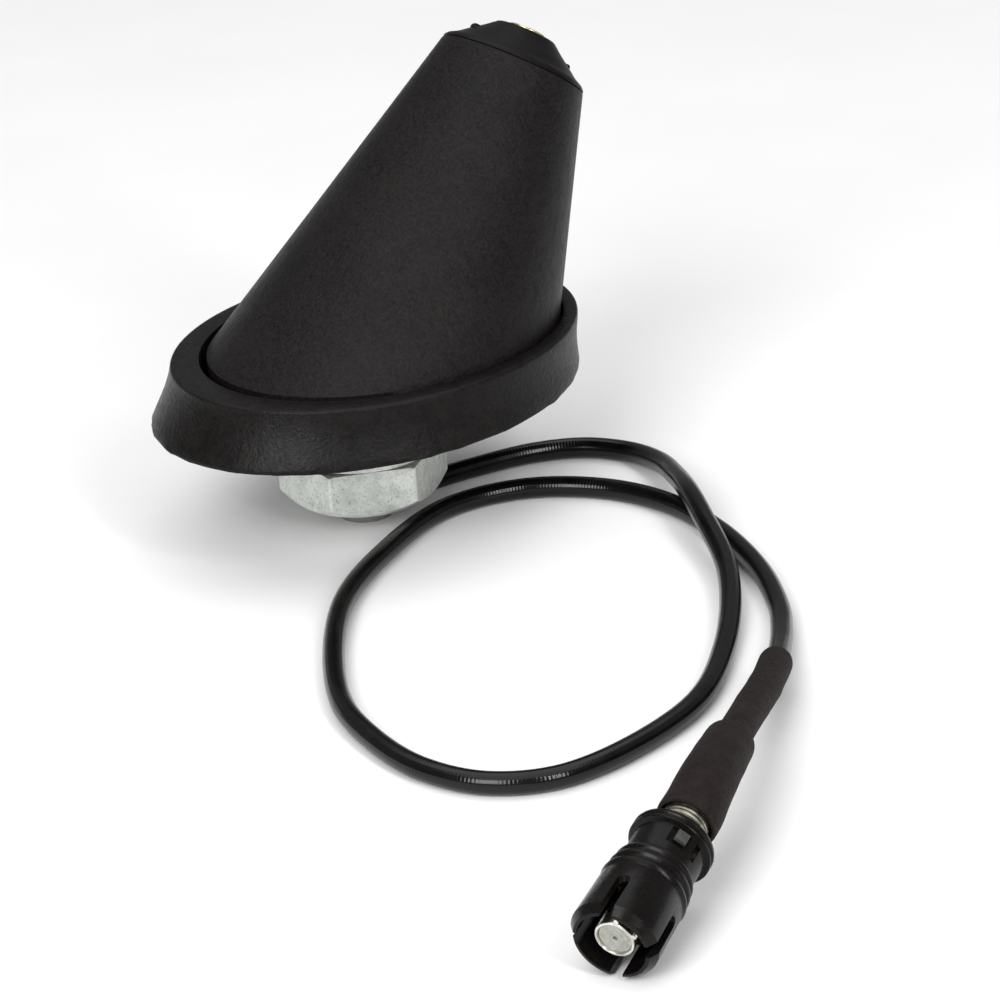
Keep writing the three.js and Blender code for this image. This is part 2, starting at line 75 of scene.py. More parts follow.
# Ovals in plan: centre on X, half length, half width
GASKET_FOOT = (-4, 37.2, 30.1)
GASKET_CROWN = (-1.5, 35.3, 28.8)
GASKET_MOUTH = (0, 31.5, 25.8)
GASKET_HOLE = (STUD_X, 10.6, 10.6)
SKIRT = (0.5, 30.6, 25.2)

WALL = 2
RIM_CENTRE = Vector((31.1, 0, 66.2))
RIM_R = 12.25
MAST_TILT = radians(35.4)
TIP_HEIGHT = 5.7
LUG_TURN = radians(-32)

NUT_Z = 3.9
NUT_TOP_Z = 11.9
NUT_APOTHEM = 12
NUT_TURN = radians(-1.7)
NUT_BORE_R = 8.15
THREAD_PITCH = 1.5
THREAD_R = (7.5, 8.2)

CABLE_R = 1.7
FLOOR_Z = 1.8
PLUG_FRONT = Vector((-79.15, -136.2, 5.7))
PLUG_HEADING = radians(202)
PLUG_DIP = radians(12)
SLEEVE_END = 23.4
JACKET_END = 25.5
THICK_LENGTH = 24.5
THIN_LENGTH = 43.4
SLEEVE_OVERLAP = 6
THICK_SETBACK = 0.6

# Plug's collar: slots between the fingers, and windows as (angle in degrees, width, radius of the floor)
SLOT_WIDTH = 1.8
SLOT_LENGTH = 6.8
WINDOW_BACK = -18.4
WINDOW_FRONT = -15.6
WINDOWS = ((56, 2.8, 4.45), (22, 0.9, 3))

# Centre line of the lead, from the board down the hollow stud and round its loop to the plug
LEAD = [
    (-6.3, 0, 27.2),
    (-6.3, 0, 16),
    (-7.3, 0, 9.8),
    (-6.5, 0, 5.9),
    (-3.53, -0.39, 2.9),
    (0.63, -0.97, 1.95),
    (13, -2.8, FLOOR_Z),
    (25, -6.3, FLOOR_Z),
    (32, -11.3, FLOOR_Z),
    (35.4, -18.5, 1.9),
    (34, -27, 3),
    (29.8, -35.3, 4.3),
    (25, -43.2, 5.5),
    (20.5, -50.8, 5.2),
    (11.5, -65.5, 3.2),
    (-6, -82.2, FLOOR_Z),
    (-23.5, -92.3, FLOOR_Z),
    (-47.5, -93.5, FLOOR_Z),
    (-56.5, -87.2, FLOOR_Z),
    (-60, -77, FLOOR_Z),
    (-58.8, -64.5, FLOOR_Z),
    (-54, -51.5, FLOOR_Z),
    (-34, -27.6, FLOOR_Z),
    (-17, -17.5, FLOOR_Z),
    (1, -12.1, FLOOR_Z),
    (14, -16, FLOOR_Z),
    (22.5, -26, FLOOR_Z),
    (25.3, -38, FLOOR_Z),
    (23, -52, FLOOR_Z),
    (17.2, -66.5, FLOOR_Z),
    (9.4, -78.5, 1.9),
    (3.6, -84.8, 2.3),
    (-3.2, -91, 3.3),
    (-15.6, -100.6, 5.9),
    (-24.8, -106.9, 7.9),
    (-33, -112.5, 9.6),
    (-45.6, -120.8, 11.5),
    (-50.9, -124.1, 11.7),
    (-54.66, -126.31, 11.31),
    (-57.93, -127.63, 10.57),
]

# ---- Materials --------------------------------------------------------------------------------------


class Graph:
    """A principled material with short calls for its nodes."""

    def __init__(self, name, coords="Object"):
        self.material = bpy.data.materials.new(name)
        self.material.use_nodes = True
        self.tree = self.material.node_tree
        self.shader = self.tree.nodes["Principled BSDF"]
        self.coords = self.tree.nodes.new("ShaderNodeTexCoord").outputs[coords]

    def link(self, a, b):
        self.tree.links.new(a, b)

    def noise(self, size, detail=3, rough=0.55):
        node = self.tree.nodes.new("ShaderNodeTexNoise")
        node.inputs["Scale"].default_value = 1 / (size * MM)
        node.inputs["Detail"].default_value = detail
        node.inputs["Roughness"].default_value = rough
        self.link(self.coords, node.inputs["Vector"])
        return node.outputs["Fac"]

    def ramp(self, source, stops):
        node = self.tree.nodes.new("ShaderNodeValToRGB")
        elements = node.color_ramp.elements
        while len(elements) < len(stops):
            elements.new(0.5)
        for element, (place, color) in zip(elements, stops):
            element.position = place
            element.color = (*color, 1) if isinstance(color, tuple) else (color, color, color, 1)
        self.link(source, node.inputs["Fac"])
        return node.outputs["Color"]

    def spread(self, source, low, high, start=0.3, end=0.7):
        node = self.tree.nodes.new("ShaderNodeMapRange")
        for key, value in (("From Min", start), ("From Max", end), ("To Min", low), ("To Max", high)):
            node.inputs[key].default_value = value
        self.link(source, node.inputs["Value"])
        return node.outputs["Result"]

    def math(self, kind, a, b=None):
        node = self.tree.nodes.new("ShaderNodeMath")
        node.operation = kind
        for socket, value in zip(node.inputs, (a, b)):
            if value is None:
                continue
            if isinstance(value, (int, float)):
                socket.default_value = value
            else:
                self.link(value, socket)
        return node.outputs["Value"]

    def bump(self, height, depth_mm, after=None):
        node = self.tree.nodes.new("ShaderNodeBump")
        node.inputs["Strength"].default_value = 1
        node.inputs["Distance"].default_value = depth_mm * MM
        self.link(height, node.inputs["Height"])
        if after:
            self.link(after, node.inputs["Normal"])
        return node.outputs["Normal"]

    def finish(self, color, roughness, normal=None, metallic=0.0, specular=0.5):
        self.link(color, self.shader.inputs["Base Color"])
        self.link(roughness, self.shader.inputs["Roughness"])
        self.shader.inputs["Metallic"].default_value = metallic
        self.shader.inputs["Specular IOR Level"].default_value = specular
        if normal:
            self.link(normal, self.shader.inputs["Normal"])
        return self.material


def moulded(name, dark, light, rough, grain, depth, mottle=6.0, specular=0.25, speck=0.45):
    """Moulded plastic or rubber: fine grain, slow colour drift and uneven roughness."""
    g = Graph(name)
    drift = g.noise(mottle, 4, 0.6)
    fine = g.noise(grain, 4, 0.65)
    both = g.math("ADD", g.math("MULTIPLY", drift, 1 - speck), g.math("MULTIPLY", fine, speck))
    color = g.ramp(both, [(0.35, dark), (0.65, light)])
    roughness = g.spread(g.noise(mottle * 0.4, 5, 0.7), rough[0], rough[1])
    normal = g.bump(fine, depth, g.bump(g.noise(mottle * 0.25, 2), depth * 1.5))
    return g.finish(color, roughness, normal, specular=specular)


def metal(name, dark, light, rough, speck=0.5, depth=0.01, stain=None, metallic=1.0):
    """Plated, cast or turned metal: cloudy tone, fine specks and slight unevenness."""
    g = Graph(name)
    cloud = g.noise(2.2, 5, 0.65)
    color = g.ramp(cloud, [(0.32, dark), (0.6, light)])
    if stain:
        spots = g.ramp(g.noise(speck, 3, 0.6), [(0.33, 1.0), (0.42, 0.0)])
        mix = g.tree.nodes.new("ShaderNodeMix")
        mix.data_type = "RGBA"
        g.link(spots, mix.inputs["Factor"])
        g.link(color, mix.inputs[6])
        mix.inputs[7].default_value = (*stain, 1)
        color = mix.outputs[2]
    roughness = g.spread(g.noise(0.9, 4, 0.7), rough[0], rough[1])
    normal = g.bump(g.noise(speck * 0.6, 4, 0.6), depth)
    return g.finish(color, roughness, normal, metallic)


def threaded(name, dark, light):
    """Cast zinc with a helical thread on the stud below the roof."""
    g = Graph(name)
    split = g.tree.nodes.new("ShaderNodeSeparateXYZ")
    g.link(g.coords, split.inputs["Vector"])
    x = g.math("SUBTRACT", split.outputs["X"], STUD_X * MM)
    y = split.outputs["Y"]
    z = split.outputs["Z"]
    lap = g.math("DIVIDE", g.math("ARCTAN2", y, x), 2 * pi)
    climb = g.math("SUBTRACT", g.math("DIVIDE", z, THREAD_PITCH * MM), lap)
    tooth = g.math("PINGPONG", climb, 0.5)
    radius = g.math("SQRT", g.math("ADD", g.math("MULTIPLY", x, x), g.math("MULTIPLY", y, y)))
    outside = g.math("GREATER_THAN", radius, THREAD_R[0] * MM)
    slim = g.math("LESS_THAN", radius, THREAD_R[1] * MM)
    low = g.math("LESS_THAN", z, ROOF_Z * MM)
    cut = g.math("MULTIPLY", g.math("MULTIPLY", outside, slim), low)
    depth = g.math("MULTIPLY", tooth, cut)
    cloud = g.noise(1.6, 5, 0.65)
    color = g.ramp(cloud, [(0.3, dark), (0.7, light)])
    normal = g.bump(depth, 1.5, g.bump(g.noise(0.35, 4), 0.03))
    return g.finish(color, g.spread(cloud, 0.38, 0.6), normal, 1.0)


def cable_jacket(name):
    """Glossy jacket in which the braid below shows as a fine crossed relief."""
    g = Graph(name, "UV")
    split = g.tree.nodes.new("ShaderNodeSeparateXYZ")
    g.link(g.coords, split.inputs["Vector"])
    around = g.math("MULTIPLY", split.outputs["X"], 2 * pi * 9)
    along = g.math("MULTIPLY", split.outputs["Y"], 2 * pi / 1.1)
    left = g.math("SINE", g.math("ADD", along, around))
    right = g.math("SINE", g.math("SUBTRACT", along, around))
    braid = g.math("MULTIPLY", left, right)
    g.coords = g.tree.nodes["Texture Coordinate"].outputs["Object"]
    uneven = g.noise(7, 3)
    depth = g.math("MULTIPLY", braid, g.spread(uneven, 0.3, 1.0))
    stops = [(0.3, (0.0015, 0.0015, 0.0015)), (0.7, (0.005, 0.0045, 0.0042))]
    color = g.ramp(g.noise(3, 4, 0.6), stops)
    roughness = g.spread(g.noise(4, 5, 0.7), 0.12, 0.24)
    normal = g.bump(depth, 0.018, g.bump(g.noise(0.5, 3), 0.01))
    return g.finish(color, roughness, normal, specular=0.3)


def insulator_face(name):
    """Pale moulded insulator with turned rings on its face."""
    g = Graph(name)
    cloud = g.noise(0.8, 4, 0.6)
    color = g.ramp(cloud, [(0.3, (0.26, 0.265, 0.235)), (0.7, (0.42, 0.42, 0.38))])
    normal = g.bump(g.noise(0.18, 3), 0.02)
    return g.finish(color, g.spread(cloud, 0.4, 0.6), normal)


MATERIALS = {
    "housing_plastic": moulded(
        "housing_plastic", (0.002, 0.0018, 0.0018), (0.015, 0.013, 0.0125),
        (0.36, 0.46), 0.45, 0.14, 9, 0.12, 0.8
    ),
    "nose_plastic": moulded(
        "nose_plastic", (0.003, 0.0025, 0.0025), (0.007, 0.006, 0.0055), (0.36, 0.48), 0.5, 0.015, 7, 0.13
    ),
    "black_rubber": moulded(
        "black_rubber", (0.002, 0.0018, 0.0017), (0.011, 0.0095, 0.009),
        (0.28, 0.46), 0.45, 0.06, 2.4, 0.14, 0.6
    ),
    "collar_plastic": moulded(
        "collar_plastic", (0.003, 0.0026, 0.0024), (0.007, 0.0058, 0.0054), (0.2, 0.32), 0.4, 0.012, 4, 0.15
    ),
    "rough_plastic": moulded(
        "rough_plastic", (0.03, 0.03, 0.029), (0.08, 0.08, 0.076), (0.6, 0.8), 0.25, 0.06, 1.5, 0.2
    ),
    "heat_shrink": moulded(
        "heat_shrink", (0.008, 0.006, 0.0055), (0.024, 0.0185, 0.017), (0.6, 0.8), 0.3, 0.07, 2.5, 0.1, 0.7
    ),
    "component_body": moulded(
        "component_body", (0.04, 0.035, 0.03), (0.07, 0.06, 0.05), (0.35, 0.55), 0.3, 0.01, 2
    ),
    "ceramic": moulded("ceramic", (0.52, 0.42, 0.3), (0.66, 0.55, 0.42), (0.6, 0.8), 0.25, 0.02, 3),
    "board_laminate": moulded(
        "board_laminate", (0.02, 0.15, 0.06), (0.04, 0.22, 0.09), (0.25, 0.45), 0.5, 0.01, 4
    ),
    "zinc_plate": metal(
        "zinc_plate", (0.62, 0.66, 0.61), (0.86, 0.89, 0.84), (0.4, 0.58), 0.35, 0.02, (0.42, 0.44, 0.4), 0.6
    ),
    "die_cast_zinc": threaded("die_cast_zinc", (0.3, 0.3, 0.29), (0.48, 0.48, 0.46)),
    "brass": metal("brass", (0.38, 0.33, 0.16), (0.72, 0.62, 0.36), (0.25, 0.42), 0.3, 0.01),
    "nickel_plate": metal("nickel_plate", (0.52, 0.50, 0.44), (0.80, 0.79, 0.74), (0.2, 0.4), 0.4, 0.01),
    "dull_nickel": metal("dull_nickel", (0.14, 0.13, 0.10), (0.42, 0.40, 0.33), (0.3, 0.5), 0.4, 0.02),
    "silver_layer": metal("silver_layer", (0.7, 0.7, 0.68), (0.85, 0.85, 0.82), (0.35, 0.5), 0.3, 0.01),
    "cable_jacket": cable_jacket("cable_jacket"),
    "insulator_plastic": insulator_face("insulator_plastic"),
}

# ---- Meshes -----------------------------------------------------------------------------------------


def loft(rings, loop=False, capped=True):
    """Vertices and faces of a body through rings of points."""
    n = len(rings[0])
    verts = [p for ring in rings for p in ring]
    faces = []
    for i in range(len(rings) if loop else len(rings) - 1):
        low = i * n
        high = (i + 1) % len(rings) * n
        for j in range(n):
            k = (j + 1) % n
            faces.append((low + j, low + k, high + k, high + j))
    if capped and not loop:
        faces.append(tuple(reversed(range(n))))
        faces.append(tuple(range(len(verts) - n, len(verts))))
    return verts, faces


def lathe(profile, sides=96):
    """Closed profile of (radius, height) turned about Z, for a piece with an open bore."""
    rings = []
    for r, z in profile:
        ring = []
        for i in range(sides):
            t = 2 * pi * i / sides
            ring.append(Vector((r * cos(t), r * sin(t), z)))
        rings.append(ring)
    return loft(rings, loop=True)


def block(low, high, bevel=0.0):
    """Box between two corners, its edges rounded."""
    bm = bmesh.new()
    bmesh.ops.create_cube(bm, size=1)
    for vert in bm.verts:
        vert.co = Vector(lo + (hi - lo) * (c + 0.5) for lo, hi, c in zip(low, high, vert.co))
    if bevel:
        bmesh.ops.bevel(bm, geom=bm.edges[:], offset=bevel, segments=3, profile=0.5, affect="EDGES")
    verts = [v.co.copy() for v in bm.verts]
    faces = [tuple(v.index for v in f.verts) for f in bm.faces]
    bm.free()
    return verts, faces


def moved(part, matrix):
    verts, faces = part
    return [matrix @ v for v in verts], faces


def merged(*parts):
    verts = []
    faces = []
    for part_verts, part_faces in parts:
        start = len(verts)
        verts += part_verts
        faces += [tuple(start + i for i in face) for face in part_faces]
    return verts, faces


def mesh_object(name, part, place=None):
    verts, faces = moved(part, place) if place else part
    mesh = bpy.data.meshes.new(name)
    mesh.from_pydata([v * MM for v in verts], [], faces)
    bm = bmesh.new()
    bm.from_mesh(mesh)
    bmesh.ops.recalc_face_normals(bm, faces=bm.faces[:])
    bm.to_mesh(mesh)
    bm.free()
    obj = bpy.data.objects.new(name, mesh)
    bpy.context.scene.collection.objects.link(obj)
    return obj


replaced = set()


def settle(obj, slot, body, *nodes, sharp=35):
    """Shading, material, body and CAD node of a finished piece."""
    replaced.update(nodes)
    mesh = obj.data
    mesh.polygons.foreach_set("use_smooth", [True] * len(mesh.polygons))
    mesh.set_sharp_from_angle(angle=radians(sharp))
    mesh.materials.clear()
    mesh.materials.append(MATERIALS[slot])
    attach(obj, body)
    if nodes:
        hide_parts(*nodes)
    return obj


def apply_modifiers(obj):
    graph = bpy.context.evaluated_depsgraph_get()
    mesh = bpy.data.meshes.new_from_object(obj.evaluated_get(graph))
    obj.modifiers.clear()
    obj.data = mesh


def carve(obj, cutters):
    """Cuts the cutters out of obj and removes them."""
    for cutter in cutters:
        modifier = obj.modifiers.new("cut", "BOOLEAN")
        modifier.operation = "DIFFERENCE"
        modifier.solver = "EXACT"
        modifier.object = cutter
    apply_modifiers(obj)
    for cutter in cutters:
        bpy.data.objects.remove(cutter)


def soften(obj, width, segments=2, angle=35):
    modifier = obj.modifiers.new("soft_edges", "BEVEL")
    modifier.width = width * MM
    modifier.segments = segments
    modifier.limit_method = "ANGLE"
    modifier.angle_limit = radians(angle)
    return obj


# ---- Curves -----------------------------------------------------------------------------------------


def smooth_path(points, steps=24):
    """Centripetal curve through the points, as a dense list of points."""
    pts = [Vector(p) for p in points]
    pts = [2 * pts[0] - pts[1], *pts, 2 * pts[-1] - pts[-2]]
    out = []
    for p0, p1, p2, p3 in zip(pts, pts[1:], pts[2:], pts[3:]):
        d0 = (p1 - p0).length ** 0.5
        d1 = (p2 - p1).length ** 0.5
        d2 = (p3 - p2).length ** 0.5
        m1 = ((p1 - p0) / d0 - (p2 - p0) / (d0 + d1) + (p2 - p1) / d1) * d1
        m2 = ((p2 - p1) / d1 - (p3 - p1) / (d1 + d2) + (p3 - p2) / d2) * d1
        for k in range(steps):
            t = k / steps
            square = 3 * (p2 - p1) - 2 * m1 - m2
            cube = 2 * (p1 - p2) + m1 + m2
            out.append(p1 + m1 * t + square * t**2 + cube * t**3)
    out.append(pts[-2])
    return out


class Path:
    """A curve that can be asked for a point at a length along it."""

    def __init__(self, points):
        self.points = points
        self.lengths = [0.0]
        for a, b in zip(points, points[1:]):
            self.lengths.append(self.lengths[-1] + (b - a).length)
        self.total = self.lengths[-1]

    def at(self, length):
        length = min(max(length, 0), self.total)
        low = 0
        high = len(self.lengths) - 1
        while high - low > 1:
            middle = (low + high) // 2
            if self.lengths[middle] <= length:
                low = middle
            else:
                high = middle
        span = self.lengths[high] - self.lengths[low]
        return self.points[low].lerp(self.points[high], (length - self.lengths[low]) / span)

    def frame(self, length):
        tangent = (self.at(length + 0.2) - self.at(length - 0.2)).normalized()
        return self.at(length), tangent


def sweep(path, stations, sides, loop=False):
    """Rings of given radius at given lengths along a path, with as little twist as possible."""
    rings = []
    side = None
    for length, r in stations:
        centre, tangent = path.frame(length)
        if side is None:
            side = tangent.orthogonal().normalized()
        side = (side - tangent * side.dot(tangent)).normalized()
        other = tangent.cross(side)
        ring = []
        for i in range(sides):
            t = 2 * pi * i / sides
            ring.append(centre + r * (side * cos(t) + other * sin(t)))
        rings.append(ring)
    return loft(rings, loop=loop)


lead = Path(smooth_path(LEAD))
jacket_length = lead.total - (JACKET_END - SLEEVE_END)
thick_start = lead.total - THICK_LENGTH
thin_start = thick_start + SLEEVE_OVERLAP - THIN_LENGTH


def coax_jacket():
    sides = 24
    count = round(jacket_length / 0.9)
    stations = [(0.0, CABLE_R - 0.25)]
    stations += [(jacket_length * i / count, CABLE_R) for i in range(count + 1)]
    stations += [(jacket_length, CABLE_R - 0.25)]
    stations[1] = (0.2, CABLE_R)
    stations[-2] = (jacket_length - 0.2, CABLE_R)
    obj = mesh_object("coax_jacket", sweep(lead, stations, sides))
    layer = obj.data.uv_layers.new(name="run")
    for polygon in obj.data.polygons:
        corners = [obj.data.loops[i].vertex_index for i in polygon.loop_indices]
        wraps = max(v % sides for v in corners) - min(v % sides for v in corners) > 2
        for i, vert in zip(polygon.loop_indices, corners):
            step = vert % sides
            if wraps and step == 0:
                step = sides
            layer.data[i].uv = (step / sides, stations[vert // sides][0])
    return settle(obj, "cable_jacket", "antenna", "coax_cable")


def wavering(length, size, seed):
    return size * noise.noise(Vector((length * 0.25, seed, 0)))


def shrunk_sleeve(name, start, length, inner, outer, node, round_start, round_end):
    """Shrunk tube: rounded lips, a bore that fits what it covers and a slightly uneven outside."""
    outside = [(start, outer(0) - round_start), (start + 0.12, outer(0) - round_start * 0.4)]
    count = round(length / 0.8)
    for i in range(1, count):
        share = i / count
        outside.append((start + length * share, outer(share) + wavering(length * share, 0.09, length)))
    outside += [(start + length - 0.12, outer(1) - round_end * 0.4), (start + length, outer(1) - round_end)]
    inside = [(start + length, inner(1)), (start + length * 0.5, inner(0.5)), (start, inner(0))]
    obj = mesh_object(name, sweep(lead, outside + inside, 40, loop=True))
    return settle(obj, "heat_shrink", "antenna", node)


def between(low, high):
    return lambda share: low + (high - low) * share


jacket = coax_jacket()
thin_sleeve = shrunk_sleeve(
    "shrunk_sleeve_thin", thin_start, THIN_LENGTH, between(1.95, 1.95), between(2.5, 2.5),
    "heat_shrink_thin", 0.2, 0.2,
)
thick_sleeve = shrunk_sleeve(
    "shrunk_sleeve_thick", thick_start, THICK_LENGTH - THICK_SETBACK, between(2.75, 3.75), between(3.55, 4.3),
    "heat_shrink_thick", 0.45, 0.3,
)

# ---- Plug -------------------------------------------------------------------------------------------

forward = Vector(
    (cos(PLUG_DIP) * cos(PLUG_HEADING), cos(PLUG_DIP) * sin(PLUG_HEADING), -sin(PLUG_DIP))
)
across = Vector((-sin(PLUG_HEADING), cos(PLUG_HEADING), 0))
plug_turn = Matrix((across, forward.cross(across), forward)).transposed().to_4x4()
plug_place = Matrix.Translation(PLUG_FRONT) @ plug_turn


def spun(degrees):
    return Matrix.Rotation(radians(degrees), 4, "Z")


def ferrule():
    profile = [(2.75, -27), (3.2, -27), (3.3, -26.8)]
    for i in range(8):
        z = -26.4 + i * 0.7
        profile += [(3.3, z), (3.22, z + 0.12), (3.22, z + 0.24), (3.3, z + 0.36)]
    profile += [(3.3, -21.05), (3.15, -20.9), (2.75, -20.9)]
    obj = mesh_object("ferrule_band", lathe(profile, 72), plug_place)
    return settle(obj, "dull_nickel", "antenna", "crimp_ferrule")


def shell():
    body = lathe(
        [
            (1.2, -25),
            (2.35, -25),
            (2.45, -24.9),
            (2.45, -17.6),
            (3.85, -17.6),
            (4, -17.45),
            (4, -10.5),
            (3.9, -10.35),
            (2.75, -9.6),
            (2.75, -1.2),
            (2.68, -1.12),
            (2.42, -1.1),
            (2.35, -1.2),
            (2.35, -10.4),
            (1.2, -10.4),
        ],
        96,
    )
    tab = block((2.5, -0.35, -2.1), (3.2, 0.35, -1.1), 0.08)
    part = merged(body, moved(tab, spun(20)), moved(tab, spun(78)))
    return settle(mesh_object("plug_tube", part, plug_place), "nickel_plate", "antenna", "plug_shell")


def insulator():
    profile = [(0.34, -2.5), (0.8, -2.8), (0.8, -10.1), (2.3, -10.1), (2.3, -1.5), (2.24, -1.42)]
    profile += [(1.75, -1.42), (1.7, -1.36), (1.2, -1.36), (1.15, -1.3), (0.75, -1.3), (0.7, -1.36)]
    profile += [(0.34, -1.36)]
    obj = mesh_object("insulator_disc", lathe(profile, 96), plug_place)
    return settle(obj, "insulator_plastic", "antenna", "plug_insulator")


def collar():
    profile = [
        (4.75, 0),
        (4.75, -10),
        (4.25, -11),
        (4.25, -20.3),
        (5.45, -20.3),
        (5.66, -20.22),
        (5.75, -20),
        (5.75, -19.75),
        (5.66, -19.6),
        (5.5, -19.5),
        (5.46, -19.35),
        (5.5, -19.2),
        (5.66, -19.1),
        (5.75, -18.95),
        (5.75, -18.8),
        (5.68, -18.68),
        (5.0, -18.45),
        (4.95, -18.3),
        (4.95, -14.05),
        (5.1, -13.95),
        (5.42, -13.75),
        (5.52, -13.5),
        (5.46, -13.2),
        (5.22, -12.95),
        (5.2, -12.7),
        (5.42, -12.45),
        (5.72, -12.2),
        (5.78, -11.95),
        (5.7, -11.65),
        (5.42, -11.35),
        (5.42, -11.05),
        (5.66, -10.75),
        (5.93, -10.5),
        (6.0, -10.2),
        (5.92, -9.9),
        (5.74, -9.6),
        (5.74, -9.35),
        (5.86, -9.1),
        (6.05, -1.25),
        (5.24, -0.06),
        (5.1, 0),
    ]
    body = mesh_object("collar_body", lathe(profile, 144), plug_place)
    cutters = []
    half = SLOT_WIDTH / 2
    for i in range(4):
        round_end = []
        for k in range(13):
            t = pi * k / 12
            round_end.append(Vector((0, half * cos(t), half - SLOT_LENGTH - half * sin(t))))
        outline = [Vector((0, half, 1)), *round_end, Vector((0, -half, 1))]
        near = [p + Vector((2, 0, 0)) for p in outline]
        far = [p + Vector((8, 0, 0)) for p in outline]
        cutters.append(mesh_object("slot", moved(loft([near, far]), spun(90 * i)), plug_place))
    for middle, width, floor_r in WINDOWS:
        window = block((floor_r, -width / 2, WINDOW_BACK), (7, width / 2, WINDOW_FRONT))
        cutters.append(mesh_object("window", moved(window, spun(middle)), plug_place))
    carve(body, cutters)
    settle(body, "collar_plastic", "collar", "plug_collar", sharp=28)
    return soften(body, 0.07, 2, 50)


ferrule_piece = ferrule()
shell_piece = shell()
insulator_piece = insulator()
collar_piece = collar()

nodes = frame["nodes"]

# ---- Housing and mast socket ------------------------------------------------------------------------

mast_place = Matrix.Translation(RIM_CENTRE) @ Matrix.Rotation(MAST_TILT, 4, "Y")


def oval(measures, z, inset=0.0, sides=144):
    x, a, b = measures
    ring = []
    for i in range(sides):
        t = 2 * pi * i / sides
        ring.append(Vector((x + (a - inset) * cos(t), (b - inset) * sin(t), z)))
    return ring


def rim_ring(r, rise, sides=144):
    ring = []
    for i in range(sides):
        t = 2 * pi * i / sides
        ring.append(mast_place @ Vector((r * cos(t), r * sin(t), rise)))
    return ring


def mixed(a, b, share):
    return [p.lerp(q, share) for p, q in zip(a, b)]


def housing():
    skirt = oval(SKIRT, GASKET_TOP_Z)
    rim = rim_ring(RIM_R, 0)
    outside = [oval(SKIRT, BASE_Z)]
    outside += [mixed(skirt, rim, i / 40) for i in range(40)]
    outside += [mixed(skirt, rim, 0.994), rim_ring(RIM_R - 0.1, -0.02), rim_ring(RIM_R - 0.3, 0)]
    inner_skirt = oval(SKIRT, GASKET_TOP_Z, WALL)
    inner_rim = rim_ring(RIM_R - WALL, 0)
    inside = [mixed(inner_rim, inner_skirt, i / 8) for i in range(9)] + [oval(SKIRT, BASE_Z, WALL)]
    obj = mesh_object("housing_shell", loft(outside + inside, loop=True))
    return settle(obj, "housing_plastic", "antenna", "cone_housing")


def nose():
    profile = [
        (4.5, -5),
        (9.9, -5),
        (9.9, 0.05),
        (12.05, 0.05),
        (12.2, 0.16),
        (12.14, 0.36),
        (11.7, 0.85),
        (11.15, 1.15),
        (10.5, 1.5),
        (9.9, 1.92),
        (9.3, 2.4),
        (8.65, 2.88),
        (8, 3.35),
        (7.35, 3.82),
        (6.7, 4.3),
        (6.15, 4.74),
        (5.62, 5.18),
        (5.3, 5.42),
        (5.1, 5.6),
        (4.87, 5.7),
        (3.5, 5.7),
        (3.4, 5.6),
        (3.4, 3.8),
        (4.5, 3.8),
    ]
    lug = block((6.5, -1.2, 1.6), (8.75, 1.2, 3.7), 0.5)
    part = lathe(profile, 128)
    for side in (0, pi):
        part = merged(part, moved(lug, Matrix.Rotation(LUG_TURN + side, 4, "Z")))
    return settle(mesh_object("nose_cap", part, mast_place), "nose_plastic", "antenna", "mast_nose")


def insert():
    top = TIP_HEIGHT + 0.5
    profile = [(3.5, -6), (4.2, -5.8), (4.2, 3.5), (3.1, 3.5), (3.1, top - 0.12), (2.98, top), (2.5, top)]
    for i in range(14):
        z = top - 0.4 - i * 0.7
        profile += [(2.1, z), (2.12, z - 0.15), (2.38, z - 0.3), (2.38, z - 0.4), (2.12, z - 0.6)]
    profile += [(2.1, -4), (0.05, -4), (0.05, -6)]
    obj = mesh_object("mast_socket", lathe(profile, 64), mast_place)
    return settle(obj, "brass", "antenna", "mast_insert")


def gasket_ring(share, z, inset, waver=0.0):
    measures = [low + (high - low) * share for low, high in zip(GASKET_FOOT, GASKET_CROWN)]
    ring = oval(measures, z, inset)
    if not waver:
        return ring
    centre = Vector((measures[0], 0, z))
    out = []
    for p in ring:
        away = (p - centre).normalized()
        out.append(p + away * waver * max(0.0, noise.noise(p * 0.35)))
    return out


def gasket():
    rings = [
        gasket_ring(0, ROOF_Z, 0.55),
        gasket_ring(0, ROOF_Z + 0.1, 0.2, 0.5),
        gasket_ring(0, ROOF_Z + 0.35, 0.1, 0.4),
        gasket_ring(0.05, ROOF_Z + 0.8, 0.02),
        gasket_ring(0.15, ROOF_Z + 1.6, 0.1),
        gasket_ring(0.3, ROOF_Z + 2.8, 0.22),
        gasket_ring(0.5, ROOF_Z + 4.3, 0.3),
        gasket_ring(0.7, ROOF_Z + 5.9, 0.25),
        gasket_ring(0.88, ROOF_Z + 7.3, 0.1),
        gasket_ring(1, GASKET_TOP_Z - 0.6, 0),
        gasket_ring(1, GASKET_TOP_Z - 0.36, 0.04),
        gasket_ring(1, GASKET_TOP_Z - 0.17, 0.13),
        gasket_ring(1, GASKET_TOP_Z - 0.05, 0.28),
        gasket_ring(1, GASKET_TOP_Z, 0.48),
        oval(GASKET_MOUTH, GASKET_TOP_Z, -0.35),
        oval(GASKET_MOUTH, GASKET_TOP_Z - 0.12, -0.08),
        oval(GASKET_MOUTH, GASKET_TOP_Z - 0.4),
        oval(GASKET_MOUTH, WEB_TOP_Z, 0.1),
        oval(GASKET_HOLE, WEB_TOP_Z),
        oval(GASKET_HOLE, ROOF_Z + 0.1),
        oval(GASKET_HOLE, ROOF_Z, -0.15),
    ]
    obj = mesh_object("gasket_rubber", loft(rings, loop=True))
    return settle(obj, "black_rubber", "antenna", "gasket", sharp=40)


